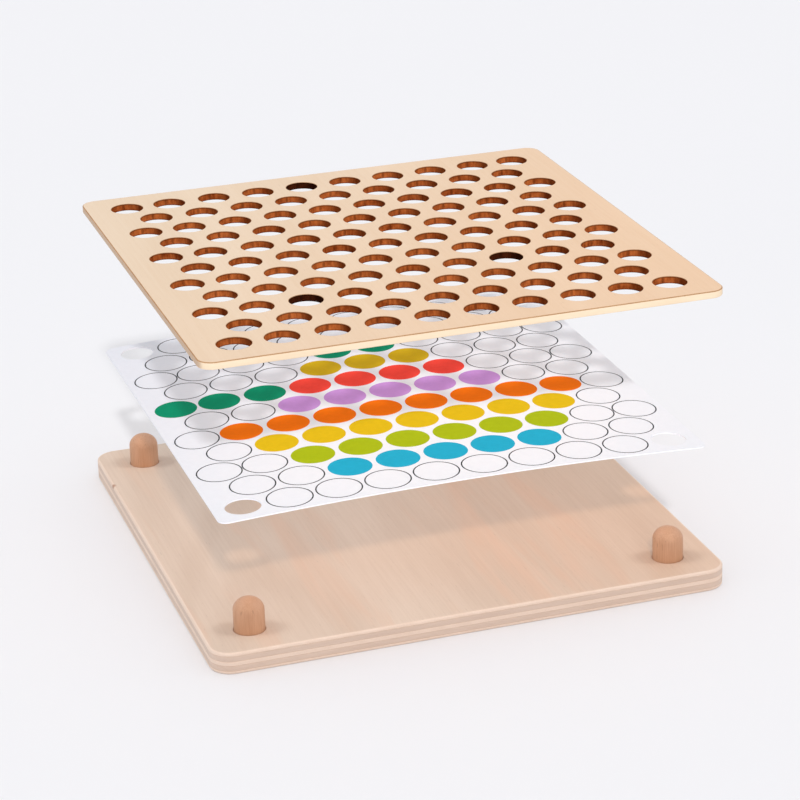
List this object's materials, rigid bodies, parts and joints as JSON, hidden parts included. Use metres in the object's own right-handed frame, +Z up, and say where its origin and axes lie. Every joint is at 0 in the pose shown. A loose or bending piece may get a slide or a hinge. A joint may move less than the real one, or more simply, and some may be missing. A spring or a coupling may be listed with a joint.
{
  "type": "wooden bead pattern board",
  "caption": "Plywood base with four dowel pegs, a printed pattern card and a perforated bead board that drop onto the pegs; shown with the layers lifted apart.",
  "frame": {"origin": "centre of the underside of the base", "axes": "+Z up, the way the layers lift off; +X to the right along the front edge of the base; -Y towards the front, +Y to the back"},
  "size_m": [0.214, 0.214, 0.1272],
  "materials": {
    "face_veneer": "sanded, clear matt",
    "cross_veneer": "sawn edge grain",
    "dowel_beech": "sanded, clear matt",
    "card_stock": "coated, satin",
    "bead_board_wood": "sanded, clear matt, burnt hole walls"
  },
  "bodies": {
    "base": {"base_back_veneer": "face_veneer", "base_lower_crossband": "cross_veneer", "base_core_ply": "face_veneer", "base_upper_crossband": "cross_veneer", "base_face_veneer": "face_veneer", "dowel_peg_front_left": "dowel_beech", "dowel_peg_front_right": "dowel_beech", "dowel_peg_back_left": "dowel_beech", "dowel_peg_back_right": "dowel_beech"},
    "card": {"pattern_card": "card_stock"},
    "bead_board": {"bead_board": "bead_board_wood"}
  },
  "joints": [
    {"name": "card_slide", "type": "slide", "parent": "base", "child": "card", "axis": [0, 0, 1], "range_m": [-0.0504, 0]},
    {"name": "bead_board_slide", "type": "slide", "parent": "card", "child": "bead_board", "axis": [0, 0, 1], "range_m": [-0.0637, 0]}
  ]
}
